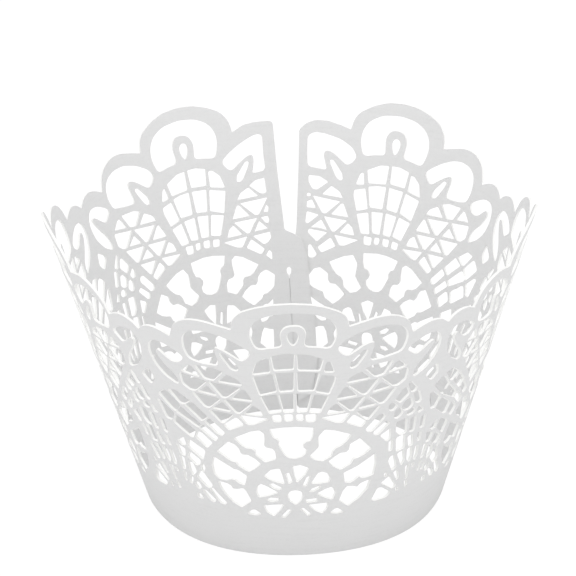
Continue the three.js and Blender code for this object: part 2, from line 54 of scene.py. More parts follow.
# the big scallop with its drop, the shell grid and its row of beads
scallop_and_shell = [
    (0.9, [(-5.5, 43.75), (-6.2, 45.2), (-6.55, 47), (-6.2, 48.7), (-5.1, 50.1), (-3.1, 51.1),
        (-0.2, 51.5), (3, 51.1), (5.2, 49.9), (6.25, 48.3), (6.45, 46.7), (6.2, 45.2),
        (5.5, 43.65), (3.6, 44.2), (1.6, 44.45), (1.75, 45.8), (2, 47.3), (1.3, 48.7),
        (0, 48.95), (-1.4, 48.6), (-2.1, 47.2), (-1.95, 45.8), (-1.75, 44.45), (-3.6, 44.2)]),
    (0.5, [(-0.1, 44.65), (0.4, 45.3), (0.75, 46.5), (0.5, 47.3), (-0.1, 47.65), (-0.8, 47.3),
        (-0.95, 46.4), (-0.6, 45.3)]),
    (0.35, [(-6.25, 38.55), (-3.6, 39.2), (-3.75, 41.95), (-4.5, 41.95), (-5.7, 40.8)]),
    (0.3, [(-3.4, 42.45), (-1.6, 42.95), (0.05, 42.95), (-0.1, 39.85), (-3, 39.6)]),
    (0.3, [(0.5, 42.85), (2.1, 42.7), (4.4, 41.5), (3.85, 39.3), (0.6, 39.65)]),
    (0.4, [(4.5, 38.95), (4.95, 41), (5.5, 40.75), (6.05, 38.7)]),
    (0.3, [(-6.2, 38.05), (-3.3, 38.85), (-2.7, 35.3), (-5.2, 34.35)]),
    (0.3, [(-2.85, 39), (-0.05, 39.25), (-0.15, 35.5), (-2.25, 35.25)]),
    (0.3, [(0.45, 39.25), (2.2, 39.15), (3.75, 38.75), (2.95, 35.3), (0.55, 35.4)]),
    (0.3, [(4.2, 38.4), (6.15, 37.8), (6.1, 36.8), (5.2, 34.3), (3.2, 35)]),
    (0.3, [(-5.1, 34.05), (-2.75, 34.65), (-2, 31.15), (-3.8, 30.7)]),
    (0.3, [(-2.3, 34.65), (-0.15, 34.9), (-0.2, 31.1), (-1.65, 31)]),
    (0.3, [(0.3, 34.85), (2.5, 34.65), (1.8, 31.1), (0.35, 31)]),
    (0.3, [(3, 34.45), (5.1, 33.85), (3.8, 30.65), (2.2, 30.8)]),
    (0.4, [(-3.45, 30.25), (-2.2, 30.45), (-2, 29.1), (-3.25, 29)]),
    (0.4, [(-1.65, 30.55), (-0.35, 30.55), (-0.35, 29.3), (-1.5, 29.15)]),
    (0.4, [(0.15, 30.5), (1.2, 30.5), (1.2, 29.2), (0.3, 29.3)]),
    (0.4, [(1.6, 30.35), (3.2, 30.4), (3, 28.9), (1.7, 28.9)]),
]
# tongue loops and triangle lattice, the same on both sides of the middle
lattice = [
    (0.4, [(8.4, 39.2), (8.7, 40.2), (10.6, 42.25), (11.25, 42.15), (10.9, 41.3), (9.6, 39.3),
        (8.9, 38.9)]),
    (0.35, [(7.85, 36.05), (8.6, 37.1), (10.2, 37.85), (11.6, 36.1)]),
    (0.35, [(10.85, 38.3), (12.4, 38.7), (15.3, 38.5), (13.8, 36.2), (12.4, 36.1)]),
    (0.35, [(14.5, 36.3), (15.9, 38.1), (16.5, 37.9), (17.6, 36.4)]),
    (0.3, [(6.35, 33), (7.6, 35.2), (8, 35.15), (9.5, 33)]),
    (0.3, [(8.2, 35.45), (13.1, 35.65), (11, 32.95), (10.4, 33)]),
    (0.3, [(11.9, 33.05), (13.3, 34.7), (14.9, 33.1)]),
    (0.4, [(13.4, 35.65), (17.9, 35.9), (17.5, 33.7), (16.3, 32.95), (15.4, 33)]),
    (0.3, [(4.85, 30.1), (5.4, 31.4), (6.3, 32.05), (7.6, 30.15)]),
    (0.3, [(6.5, 32.45), (10.7, 32.5), (8.9, 30.15), (8.4, 30.15)]),
    (0.3, [(9.7, 30.25), (11, 31.9), (12.6, 30.25)]),
    (0.3, [(11.3, 32.5), (15.9, 32.55), (13.9, 30.15), (13.2, 30.1)]),
    (0.3, [(4, 29.5), (8.4, 29.7), (7.2, 28), (6.4, 28.1)]),
    (0.35, [(7.8, 27.8), (8.9, 29.15), (10.9, 27.1), (10.1, 26.25)]),
    (0.3, [(9.4, 29.65), (13.2, 29.65), (11.3, 27.5), (10.9, 27.55)]),
]
# right scallop, hook and fan
right_cells = [
    (0.8, [(6.55, 43.4), (7.6, 44.8), (9.8, 45.9), (12.6, 46.5), (15, 46.15), (16.9, 45.1),
        (17.7, 43.5), (17.65, 41.8), (16.8, 39.95), (13.8, 39.75), (11.55, 39.8), (11.9, 41.2),
        (12.45, 42.8), (12.2, 43.7), (10.8, 43.4), (9.3, 42.4), (8.2, 41.65), (7.3, 42.2)]),
    (0.8, [(17.6, 39.9), (19.3, 40.8), (21.2, 41.3), (23, 41), (23.8, 39.6), (23.8, 38),
        (22.9, 36), (21, 34.2), (18.75, 33.35), (18.9, 34.6), (19.9, 36), (21.4, 37.3),
        (22.8, 38.9), (22.5, 39.6), (21.6, 39.35), (20.2, 38.5), (19.2, 38.1)]),
    (0.5, [(21.2, 32.4), (21.6, 33), (23.5, 33.85), (23.65, 31.7), (22.3, 30.7)]),
    (0.35, [(10.85, 25.5), (13, 27.8), (13.8, 27.7), (13.95, 26.9), (11.9, 24.75), (11.1, 24.85)]),
    (0.35, [(12.1, 24.4), (14.2, 26), (14.8, 25.4), (12.9, 23.6), (12.3, 23.7)]),
    (0.35, [(13.2, 23.2), (14.9, 24), (14.9, 21.8), (14.3, 21.5)]),
    (0.2, [(14.7, 19.1), (14.7, 21.1), (15.25, 21.3), (15.2, 19.1)]),
    (0.35, [(16, 24.9), (17.8, 24.9), (17.7, 21.7), (16.6, 21.8), (15.95, 22.8)]),
    (0.35, [(16, 21.4), (17.5, 21.5), (17.4, 18.4), (16, 18.4)]),
    (0.35, [(18.5, 24.4), (19.6, 24.4), (19.2, 21.3), (18.4, 21.4)]),
    (0.3, [(18.1, 20.5), (18.9, 20.6), (19.1, 18.2), (18.3, 18.2)]),
    (0.35, [(14.6, 28.9), (15.2, 29.6), (16.1, 28.5), (15.5, 27.8), (14.8, 27.9)]),
    (0.35, [(15.55, 27), (16, 27.8), (16.7, 27.7), (17.1, 26.4), (16.3, 25.7), (15.6, 25.9)]),
    (0.35, [(15.7, 30), (17.2, 31.7), (17.8, 31.6), (18.2, 30.1), (16.6, 28.85)]),
    (0.35, [(16.9, 28), (17.7, 29), (18.6, 28.9), (18.9, 27.3), (18.2, 26.7), (17.3, 26.8)]),
    (0.3, [(17.8, 26), (18.3, 26.6), (19.1, 26.5), (19.4, 25.7), (18.9, 25.3), (17.9, 25.4)]),
    (0.25, [(18, 32.4), (18.5, 32.5), (19.6, 30.6), (19.2, 30.1), (18.6, 30.2)]),
    (0.3, [(19, 29.8), (20, 29.9), (20.45, 27.4), (20, 27.1), (19.4, 27.5)]),
    (0.25, [(19.8, 26.2), (20.3, 26.2), (21, 24.9), (20, 24.8)]),
    (0.3, [(20.6, 23.7), (21.5, 23.5), (21.1, 20.9), (20.4, 21.1)]),
    (0.2, [(20.05, 20.3), (20.7, 20.1), (20.5, 18.3), (20.05, 18.4)]),
    (0.35, [(14.65, 17), (15, 17.8), (15.6, 17.7), (16, 14.9), (15.3, 14.5)]),
    (0.35, [(16.2, 17.8), (17.3, 17.9), (17.5, 15.5), (17, 14.7)]),
    (0.35, [(18.1, 17.8), (18.9, 17.7), (18.9, 15.5), (18.4, 14.6), (18, 15.5)]),
    (0.35, [(19.7, 17.4), (20.2, 17.2), (20.1, 15.3), (19.6, 14.3), (19.3, 14.8)]),
    (0.15, [(13.95, 14.4), (14.3, 14.5), (14.4, 13.8), (14.1, 13.7)]),
    (0.3, [(11.8, 9.6), (12.8, 11.7), (13.5, 11.5), (15, 9.7), (14.3, 9), (12.2, 9.2)]),
    (0.3, [(13.4, 12.6), (14.8, 13.4), (16, 10.7), (15.5, 10.3)]),
    (0.2, [(15.6, 13.9), (16.3, 14), (16.5, 12.1), (16.2, 11.9)]),
    (0.2, [(17.8, 13.9), (18.5, 14), (18.1, 11.1), (17.9, 11.1)]),
    (0.2, [(19.1, 13.8), (19.6, 13.5), (19.4, 12.9), (19.1, 13.1)]),
    (0.15, [(16, 10.1), (16.4, 9.9), (16.4, 9.4), (16.1, 9.4)]),
    (0.2, [(17.7, 10.6), (18.2, 10.7), (18.2, 9.4), (17.8, 9.4)]),
]
# left scallop, hook and fan
left_cells = [
    (0.8, [(-6.4, 42.9), (-7.6, 43.9), (-9.5, 45), (-11.8, 45.9), (-13.9, 46.05), (-15.8, 45.5),
        (-17, 44.3), (-17.2, 42.6), (-16.9, 41), (-16.2, 39.6), (-14, 39.3), (-11.45, 39.5),
        (-11.7, 40.8), (-12.15, 42.4), (-12, 43.3), (-10.8, 42.9), (-9.3, 42), (-8.1, 41.15),
        (-7.4, 41.4)]),
    (0.8, [(-17.1, 39.5), (-18.8, 40.4), (-20.8, 41), (-22.6, 40.7), (-23.4, 39.4),
        (-23.3, 37.6), (-22.3, 35.6), (-20.6, 34.1), (-18.2, 33.1), (-18.3, 34.2), (-19, 35.3),
        (-20.6, 36.4), (-22.1, 38.2), (-21.9, 39.3), (-21, 38.9), (-19.9, 38.1), (-18.9, 37.8),
        (-17.8, 38.2)]),
    (0.3, [(-20.2, 31.2), (-18.7, 31.65), (-16.4, 30.35), (-17.6, 29.15), (-18.3, 29.25)]),
    (0.4, [(-22.2, 29.2), (-21, 30.6), (-20.3, 30.5), (-18.2, 28.7), (-18.9, 26.9), (-19.6, 27.1)]),
    (0.3, [(-17.4, 29.1), (-15.9, 30.2), (-13.5, 28), (-14.5, 26.8)]),
    (0.3, [(-19, 26.8), (-18.3, 28.3), (-17.7, 28.2), (-14.7, 26), (-15.1, 25.1)]),
    (0.3, [(-14, 26.9), (-13.2, 27.8), (-10.8, 25.4), (-11.3, 24.7), (-12, 24.9)]),
    (0.3, [(-15, 25.1), (-14.3, 26), (-11.9, 24), (-12.4, 23.2)]),
    (0.35, [(-15.7, 22.8), (-15.2, 24.2), (-14.6, 24.1), (-12.9, 22.6), (-13.8, 21.2)]),
    (0.4, [(-19.6, 24.2), (-19.1, 25.9), (-18.4, 25.9), (-15.7, 24.3), (-16.1, 22.5),
        (-16.6, 22.5)]),
    (0.35, [(-22.5, 27.7), (-21.7, 27.8), (-19.4, 26.3), (-19.9, 24.5), (-20.9, 24.4)]),
    (0.4, [(-17.2, 19.9), (-16.9, 21.7), (-14.2, 20.4), (-14.6, 18.2)]),
    (0.2, [(-19.1, 20.3), (-17.9, 21.6), (-17.5, 20.1), (-18.3, 19.8)]),
    (0.3, [(-19.4, 19.5), (-17.8, 19.1), (-17.8, 17.5), (-18.6, 17.4)]),
    (0.3, [(-17.3, 17.5), (-16.9, 18.9), (-15.1, 17.9), (-15.2, 16.9), (-15.8, 16.4)]),
    (0.2, [(-14.95, 16.6), (-14.6, 17.2), (-14.35, 16.5), (-14.5, 15.6), (-14.9, 15.7)]),
    (0.3, [(-17.3, 16.3), (-16.5, 16.6), (-15.9, 14.9), (-16.6, 13.7), (-17, 14.4)]),
    (0.3, [(-18.95, 17.1), (-18.05, 16.9), (-17.9, 14.5), (-18.4, 14.2)]),
    (0.35, [(-15.8, 13.8), (-15.2, 15.4), (-14.8, 15.4), (-13.2, 13.1), (-13.5, 12.3),
        (-14.2, 12.3)]),
    (0.3, [(-16.3, 12), (-15.7, 12.7), (-15.1, 11.8), (-15.6, 11)]),
    (0.15, [(-17.25, 11.8), (-17.05, 13.3), (-16.6, 13.2), (-16.8, 11.7)]),
    (0.15, [(-18.35, 13.7), (-17.9, 13.7), (-17.8, 11.8), (-18.1, 11.8)]),
    (0.3, [(-13.7, 12.1), (-13.1, 12.4), (-10.9, 10), (-11.2, 9.5), (-12, 9.7)]),
    (0.3, [(-15, 11.2), (-14.4, 11.4), (-12.7, 9.9), (-13, 9.3), (-13.6, 9.5)]),
    (0.2, [(-15.95, 9.9), (-15.3, 10), (-14.95, 9.2), (-15.8, 9.1)]),
]
# the wheel: fields between beaded spokes, then the rosette
wheel = [
    (0.2, [(-3.85, 27.3), (-1.7, 27.75), (0.2, 27.85), (2.75, 27.5), (2.6, 26), (2.25, 24.95),
        (1.55, 24.75), (1.05, 24.1), (1.1, 23.45), (1.55, 23), (1.45, 22.2), (0.85, 21.6),
        (-0.1, 21.3), (-1.05, 21.45), (-1.6, 22), (-2.1, 23.1), (-2.5, 24.1), (-2.4, 24.85),
        (-2.75, 25.4), (-3.3, 25.65)]),
    (0.2, [(-9.3, 24.65), (-6.8, 26.45), (-5.5, 26.9), (-4.8, 26.3), (-4.75, 25.1),
        (-4.85, 23.8), (-4.5, 23.35), (-3.6, 23.2), (-3.15, 22.5), (-3.05, 21.1), (-3.9, 20.7),
        (-4.65, 20.35), (-5.3, 21), (-6.05, 21.65), (-6.1, 22.45), (-6.5, 22.95), (-7.5, 23),
        (-8.2, 23.4)]),
    (0.2, [(-12.1, 21.05), (-10.3, 23.6), (-9.3, 23.2), (-8.75, 22.55), (-8.55, 21.75),
        (-8.15, 21.3), (-7.3, 21.4), (-6.2, 20.7), (-5.4, 19.8), (-6.2, 18.8), (-7.2, 17.9),
        (-7.9, 18.3), (-8.75, 18.85), (-9.15, 19.55), (-9.8, 19.6), (-10.5, 20)]),
    (0.2, [(-12.75, 19.55), (-11.35, 18.85), (-10.15, 18.2), (-9.6, 17.8), (-9, 17.85),
        (-8.35, 17.4), (-7.6, 16.8), (-7.95, 14.85), (-8.85, 15.05), (-9.35, 15.6),
        (-10.05, 15.65), (-10.75, 15.15), (-11.9, 15.05), (-12.75, 15.8), (-13.05, 17.65)]),
    (0.2, [(-12.15, 14.35), (-10.7, 14.35), (-10.15, 14.05), (-9.8, 13.4), (-9.1, 13.5),
        (-8.15, 13.95), (-7.65, 13.15), (-7, 11.45), (-8.5, 9.8), (-9.7, 10.5), (-11, 11.9),
        (-11.65, 12.95)]),
    (0.2, [(3.55, 25.55), (4.5, 26.85), (6.05, 26.4), (8.5, 25), (7.75, 23.9), (6.9, 23.1),
        (6.05, 22.75), (5.6, 22.15), (5.35, 21.15), (4.05, 20.35), (2.95, 20.75), (2.2, 21.6),
        (2.95, 22.5), (3.6, 23.35), (3.55, 24.55)]),
    (0.2, [(9.9, 23.8), (11.65, 21), (10.55, 20.2), (9.5, 19.85), (8.8, 19.75), (8.35, 18.8),
        (6.8, 17.95), (5.8, 18.85), (5, 20), (6.05, 20.95), (6.85, 21.45), (7.8, 21.4),
        (8.25, 21.95), (8.4, 23)]),
    (0.2, [(12.4, 19.6), (12.4, 17.4), (12, 15.2), (11, 15.05), (10.2, 15.2), (9.65, 15.7),
        (9.05, 15.1), (8.3, 14.75), (7.55, 15), (7.35, 17.05), (8.7, 17.6), (9.5, 17.9),
        (10.75, 18.65)]),
    (0.2, [(11.55, 14.15), (11, 12.45), (9.75, 11), (7.95, 9.75), (6.6, 11.25), (7.2, 13.1),
        (7.8, 13.95), (8.7, 13.75), (9.4, 13.3), (9.95, 13.9), (10.75, 14.15)]),
    (0.35, [(-1.3, 13.2), (-0.95, 14.05), (-0.2, 14.3), (0.65, 14.05), (0.9, 13.3), (0.7, 12.25),
        (-0.1, 11.25), (-0.95, 12)]),
    (0.2, [(-4.8, 17.25), (-3.75, 18.65), (-2.55, 18.95), (-2.2, 17.7), (-1.85, 15.8),
        (-2.65, 16.05), (-3.8, 16.5)]),
    (0.2, [(-0.45, 19.45), (0.65, 19.7), (1.9, 19), (1.35, 17.75), (0.15, 16.15), (-0.15, 17.4)]),
    (0.25, [(2.3, 15.65), (3.4, 17.75), (3.95, 17.95), (4.75, 17.45), (5.1, 16.35),
        (4.95, 15.65), (3.65, 15.6)]),
    (0.2, [(3.2, 13.35), (4.5, 14.15), (5.45, 14.4), (5.9, 13.05), (5.45, 11.8), (4.4, 12.35)]),
    (0.2, [(1.85, 11), (3.2, 11.05), (4.7, 11.05), (4.55, 9.9), (3.85, 9.05), (2.8, 9.8)]),
    (0.2, [(-5.95, 14.7), (-5.35, 15.4), (-4.4, 14.9), (-2.85, 13.8), (-4.25, 13.1),
        (-5.7, 12.55), (-6.05, 13.6)]),
    (0.2, [(-4.95, 10.7), (-3.5, 11.05), (-2, 11.2), (-2.7, 9.8), (-3.5, 8.7), (-4.5, 9.45)]),
    (0.12, [(-1.5, 17.9), (-1.1, 18.1), (-0.65, 16.25), (-1.1, 15.85)]),
    (0.12, [(1.7, 17.1), (2.1, 17.25), (1.5, 15.3), (1, 15.2)]),
    (0.12, [(2, 13.9), (2.45, 14.5), (3.65, 15), (3.4, 14.45), (2.55, 13.9)]),
    (0.12, [(1.35, 12.15), (3.05, 12.3), (3.1, 11.75), (1.65, 11.6)]),
    (0.12, [(-4.1, 15.5), (-3.55, 15.7), (-2.25, 14.85), (-2.55, 14.45), (-3.5, 14.75)]),
    (0.12, [(-4.5, 12.15), (-3.85, 12.55), (-2.75, 12.5), (-2.85, 12.05), (-3.9, 11.8)]),
    (0.12, [(-2.3, 8.55), (-1.25, 10.1), (-0.85, 10), (-1.8, 8.5)]),
    (0.12, [(0.6, 10.25), (1, 10.35), (2.1, 9), (1.75, 8.75)]),
    (0.2, [(-7.45, 8.6), (-6.85, 9.45), (-6.4, 9.6), (-5.5, 8.8), (-6.4, 8.5)]),
    (0.2, [(5.2, 8.8), (5.8, 9.45), (6.25, 9.55), (7.1, 8.55), (6.2, 8.5)]),
]

# The rim of one repeat, one list per scallop. Its notches stay sharp.
rim = [
    [(-25.1, 41.75), (-24.5, 42.7), (-23.4, 43.5), (-21.9, 43.8), (-20.5, 43.55), (-19.35, 43.05)],
    [(-19.35, 43.15), (-19.1, 44.4), (-18.8, 45.6), (-17.9, 46.9), (-16.5, 47.8), (-15, 48.2),
        (-13.4, 48.25), (-11.5, 47.9), (-9.4, 47.45)],
    [(-9.4, 47.45), (-9.3, 48.9), (-8.95, 50), (-7.9, 51.4), (-5.8, 52.5), (-3.2, 53.35),
        (-0.4, 53.6), (2.6, 53.3), (5, 52.4), (7.2, 51), (8.1, 49.8), (8.45, 47.75)],
    [(8.45, 47.75), (10.2, 48.15), (12.8, 48.6), (15, 48.3), (16.9, 47.2), (18.1, 45.7),
        (18.65, 43.3)],
    [(18.65, 43.2), (20.2, 43.75), (21.9, 44), (23.4, 43.5), (24.5, 42.7), (25.1, 41.75)],
]
RIM_ROUNDING = 0.9
NOTCH_ROUNDING = 0.12

# The two ends of the sheet run through a side scallop, then widen to flaps that overlap. The left
# end lies inside. It has a slit along the seam, which opens into a small keyhole, and the right
# end has its tab below that keyhole. Listed from rim to foot.
right_end = [
    (8.45, 47.75), (10.2, 48.2), (12.6, 48.6), (14.8, 48.35), (16.3, 47.6), (17.3, 46.4),
    (16.3, 40), (15, 30.4), (14.7, 25), (14.6, 21.2), (15.6, 20.8), (16.2, 19.8), (15.6, 14),
    (15.2, 8), (14.6, 4.4), (11.2, 4), (10.5, 0),
]
left_end = [
    (-9.4, 47.45), (-11.5, 48.35), (-13.5, 48.5), (-16.2, 48.3), (-16.65, 47.9), (-15.7, 40),
    (-14.95, 31), (-14.8, 29.75), (-16.4, 28.75), (-17.5, 27.7), (-17.75, 24.5), (-17.4, 21),
    (-17, 17.5), (-17, 14), (-16.1, 6.8), (-14, 1.5), (-11.5, 0.5), (-12.33, 7.6), (-13.1, 14.4),
    (-13.52, 17.5), (-14.12, 22.1), (-14.6, 22.4), (-14.65, 23.1), (-14.3, 23.5), (-13.85, 23.2),
    (-13.8, 22.4), (-14.06, 22.1), (-13.47, 17.5), (-13.05, 14.4), (-12.28, 7.6), (-11.2, 0),
]
END_ROUNDING = 0.5
SLIT_ROUNDING = 0.3
FOOT_ROUNDING = 0.01
SLIT_CORNERS = 15
FOOT_STEPS = 260

# Openings beside the two ends, where the plain strip along the seam cuts the pattern short.
# A strip is given as (up, across): the card is plain beyond that distance from the repeat's middle.
right_strip = [
    (0, 7.5), (10, 9.8), (18, 10.7), (22, 11.5), (27, 12.5), (33, 13.8), (40, 14.9), (47, 15.8),
]
left_strip = [
    (0, 7.5), (10, 9.8), (18, 10.8), (22, 11.4), (27, 11.8), (33, 12.8), (40, 13.8), (47, 14.6),
]
right_end_cells = [
    (0.8, [(6.55, 43.4), (7.6, 44.8), (9.8, 45.9), (12.6, 46.4), (14.6, 46.4), (15.7, 45.6),
        (15.3, 43), (14.8, 40.4), (11.4, 40.3), (11.9, 41.5), (12.45, 42.8), (12.2, 43.7),
        (10.8, 43.4), (9.3, 42.4), (8.2, 41.65), (7.3, 42.2)]),
    (0.35, [(10.8, 38.4), (12.5, 39.1), (14.4, 39), (14.2, 37.9), (13.4, 36.8), (12.6, 36.7)]),
    (0.35, [(13.45, 35.9), (13.8, 36.05), (14.15, 35.9), (14.15, 35.5), (13.8, 35.35),
        (13.45, 35.5)]),
    (0.3, [(12.2, 33.6), (13.1, 35), (13.9, 34.6), (13.8, 33.5)]),
    (0.3, [(11.5, 32.6), (13.7, 32.9), (13.6, 31), (13.2, 30.8)]),
    (0.3, [(9.6, 29.9), (12.9, 30), (12.9, 29.3), (11.2, 28)]),
    (0.25, [(10.8, 25.9), (11.15, 25.3), (11.8, 25.1), (12.2, 25.3), (12.5, 27.2), (12.1, 27.45),
        (11.5, 26.7)]),
    (0.2, [(9.9, 23.8), (10.9, 23.4), (11.7, 22), (11.4, 20.7), (10.55, 20.2), (9.5, 19.85),
        (8.8, 19.75), (8.35, 18.8), (6.8, 17.95), (5.8, 18.85), (5, 20), (6.05, 20.95),
        (6.85, 21.45), (7.8, 21.4), (8.25, 21.95), (8.4, 23)]),
    (0.2, [(10.95, 18.75), (10.6, 15.4), (10.2, 15.2), (9.65, 15.7), (9.05, 15.1), (8.3, 14.75),
        (7.55, 15), (7.35, 17.05), (8.7, 17.6), (9.5, 17.9)]),
    (0.2, [(9.7, 10.95), (7.95, 9.75), (6.6, 11.25), (7.2, 13.1), (7.8, 13.95), (8.7, 13.75),
        (9.4, 13.3), (9.7, 13.6)]),
]
left_end_cells = [
    (0.8, [(-6.4, 42.9), (-7.6, 43.9), (-9.5, 45), (-11.8, 46), (-13.4, 46.5), (-14.4, 46.2),
        (-13.9, 43), (-13.7, 40.2), (-11.3, 40), (-11.7, 40.9), (-12.15, 42.4), (-12, 43.3),
        (-10.8, 42.9), (-9.3, 42), (-8.1, 41.15), (-7.4, 41.4)]),
    (0.25, [(-10.4, 38.1), (-11.65, 38.85), (-13.25, 39), (-13.1, 36.5), (-12.5, 36.35),
        (-11.9, 36.6)]),
    (0.2, [(-12.65, 34.5), (-12.9, 33.95), (-12.65, 33.15), (-11.9, 33.35)]),
    (0.2, [(-11.25, 32.5), (-12.45, 32.6), (-12.6, 32), (-12.4, 31.35), (-11.95, 31.4)]),
    (0.2, [(-10.85, 31.95), (-12.1, 30.45), (-9.7, 30.25)]),
    (0.25, [(-9.3, 29.6), (-12.3, 29.85), (-12.35, 28.85), (-11.7, 28.15), (-10.9, 27.85)]),
    (0.2, [(-11.55, 26.85), (-11.95, 26.35), (-11.75, 25.05), (-10.85, 26.05)]),
    (0.2, [(-11.7, 22.5), (-10.6, 23.5), (-10.2, 23.6), (-9.3, 23.2), (-8.75, 22.55),
        (-8.55, 21.75), (-8.15, 21.3), (-7.3, 21.4), (-6.2, 20.7), (-5.4, 19.8), (-6.2, 18.8),
        (-7.2, 17.9), (-7.9, 18.3), (-8.75, 18.85), (-9.15, 19.55), (-9.8, 19.6), (-10.5, 20),
        (-11.2, 20.6)]),
    (0.2, [(-10.6, 18.5), (-10.15, 18.2), (-9.6, 17.8), (-9, 17.85), (-8.35, 17.4), (-7.6, 16.8),
        (-7.95, 14.85), (-8.85, 15.05), (-9.35, 15.6), (-10.1, 15.65)]),
    (0.2, [(-9.7, 13.4), (-9.1, 13.5), (-8.15, 13.95), (-7.65, 13.15), (-7, 11.45), (-8.5, 9.8),
        (-9.2, 10.4)]),
]


def softened(corners, rounding, steps=5):
    """Turns each corner in a parabola: it leaves one side at the rounding, or at the side's middle
    if that is nearer, has the corner as its control point and ends as far along the next side."""
    corners = np.asarray(corners, float)
    before = np.roll(corners, 1, axis=0) - corners
    after = np.roll(corners, -1, axis=0) - corners
    reach = np.broadcast_to(np.asarray(rounding, float), (len(corners),))
    starts = before * np.minimum(reach / np.linalg.norm(before, axis=1), 0.5)[:, None]
    ends = after * np.minimum(reach / np.linalg.norm(after, axis=1), 0.5)[:, None]
    t = ((np.arange(steps) + 0.5) / steps)[None, :, None]
    curve = corners[:, None] + (1 - t) ** 2 * starts[:, None] + t**2 * ends[:, None]
    return curve.reshape(-1, 2)


def on_fan(repeat, places):
    """Places of one repeat on the whole fan: up is counted from the apex, then the repeat is
    turned about the apex by its share of the fan."""
    turn = repeat * REPEAT_TURN
    across, up = np.asarray(places, float).T
    up = up + APEX_REACH
    return np.column_stack([
        across * math.cos(turn) + up * math.sin(turn),
        up * math.cos(turn) - across * math.sin(turn),
    ])


def crosses(corners, strip, side):
    """Whether an opening reaches into the plain strip along that end of the sheet."""
    across, up = np.asarray(corners, float).T
    limit = np.interp(up, [s[0] for s in strip], [s[1] for s in strip])
    return bool((side * across > limit).any())


mirrored_lattice = [(r, [(-x, y) for x, y in reversed(c)]) for r, c in lattice]
repeat_openings = scallop_and_shell + lattice + mirrored_lattice + right_cells + left_cells + wheel
openings = []
for repeat in range(-2, 3):
    cells = list(repeat_openings)
    if repeat == 2:
        cells = [cell for cell in cells if not crosses(cell[1], right_strip, 1)] + right_end_cells
    if repeat == -2:
        cells = [cell for cell in cells if not crosses(cell[1], left_strip, -1)] + left_end_cells
    for rounding, corners in cells:
        openings.append(on_fan(repeat, softened(corners, rounding)))

# The outline of the sheet, anticlockwise: foot edge, right end, rim, left end.
foot_start = -2 * REPEAT_TURN - math.atan2(-left_end[-1][0], APEX_REACH)
foot_end = 2 * REPEAT_TURN + math.atan2(right_end[-1][0], APEX_REACH)
foot = np.linspace(foot_start, foot_end, FOOT_STEPS)[1:-1]
rim_corners = [on_fan(2, right_end[::-1])]
rim_reach = [np.full(len(right_end), END_ROUNDING)]
for repeat in range(2, -3, -1):
    scallops = rim[:3] if repeat == 2 else rim[2:] if repeat == -2 else rim
    for scallop in reversed(scallops):
        rim_corners.append(on_fan(repeat, scallop[::-1])[1:])
        rim_reach.append(np.full(len(scallop) - 1, RIM_ROUNDING))
        rim_reach[-1][-1] = NOTCH_ROUNDING
rim_corners.append(on_fan(-2, left_end)[1:])
rim_reach.append(np.full(len(left_end) - 1, END_ROUNDING))
rim_reach[-1][-SLIT_CORNERS:] = SLIT_ROUNDING
rim_reach[-1][-1] = FOOT_ROUNDING
rim_reach[0][0] = FOOT_ROUNDING
rim_reach[0][-1] = NOTCH_ROUNDING
outline = softened(np.concatenate(rim_corners), np.concatenate(rim_reach))
foot_line = APEX_REACH * np.column_stack([np.sin(foot), np.cos(foot)])
outline = np.concatenate([foot_line, outline])

# THE CARD
# Pearl card, 0.4 mm thick, cut with a laser that leaves a kerf a little wider on the outside. It
# is closed by hand into a ring that is slightly deeper than wide, with its ends parting at the
# top. The front scallop leans out a little more, and the foot at the back settles further back.

CARD_THICKNESS = 0.4
KERF_TAPER = 0.11
RING_TERMS = [(2, 0.0289, -0.0026), (3, 0.0043, 0.0011), (4, 0.0004, 0.001), (5, -0.0083, -0.0023)]
CLOSING = 0.000446
CLOSING_HEIGHT = 40.0
HALF_TURN = math.radians(360.5) / 2
SEAM_STEP = 0.215
SEAM_FLAT = 3.5
SEAM_RAMP = 8.0
FLARE_START = 40.0
FLARE = 0.0038
FLARE_DROP = 0.45
BACK_SPREAD = 0.6
BACK_SPREAD_END = 60.0
AXIS = (0.077, 0.590)


